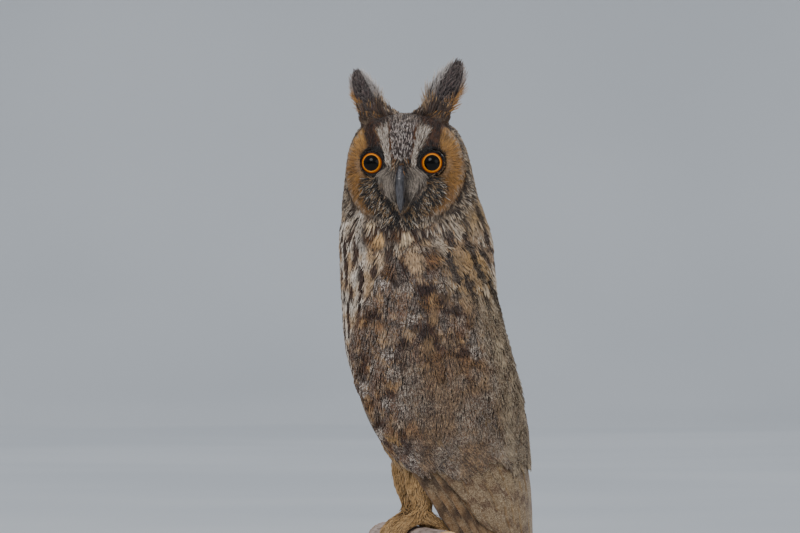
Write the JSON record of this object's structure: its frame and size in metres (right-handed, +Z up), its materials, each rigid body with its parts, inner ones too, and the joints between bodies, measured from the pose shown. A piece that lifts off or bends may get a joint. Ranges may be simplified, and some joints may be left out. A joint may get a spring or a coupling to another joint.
{
  "type": "perched owl figure",
  "caption": "Life-size still figure of a slim eared owl gripping a cut length of branch, carried by two rods on a round base.",
  "frame": {"origin": "middle of the base's underside, on the floor", "axes": "+Z up; -Y the way the face looks; +X to the right as seen from in front of the face"},
  "size_m": [0.184, 0.184, 0.4214],
  "materials": {
    "plumage": "matt mottled feathers",
    "eye": "polished orange and black",
    "horn": "smooth dark horn",
    "bark": "grey-brown bark",
    "base_wood": "dark satin wood",
    "rod_steel": "brushed"
  },
  "bodies": {
    "root": {"torso": "plumage", "neck": "plumage", "head": "plumage", "wing_left": "plumage", "wing_right": "plumage", "tail": "plumage", "ear_tuft_left": "plumage", "ear_tuft_right": "plumage", "leg_left": "plumage", "leg_right": "plumage", "foot_left": "plumage", "foot_right": "plumage", "eye_left": "eye", "eye_right": "eye", "bill_upper": "horn", "bill_lower": "horn", "claw_left_inner": "horn", "claw_left_middle": "horn", "claw_left_outer": "horn", "claw_left_hind": "horn", "claw_right_inner": "horn", "claw_right_middle": "horn", "claw_right_outer": "horn", "claw_right_hind": "horn", "perch": "bark", "stand_base": "base_wood", "stand_rod_left": "rod_steel", "stand_rod_right": "rod_steel"}
  },
  "joints": []
}
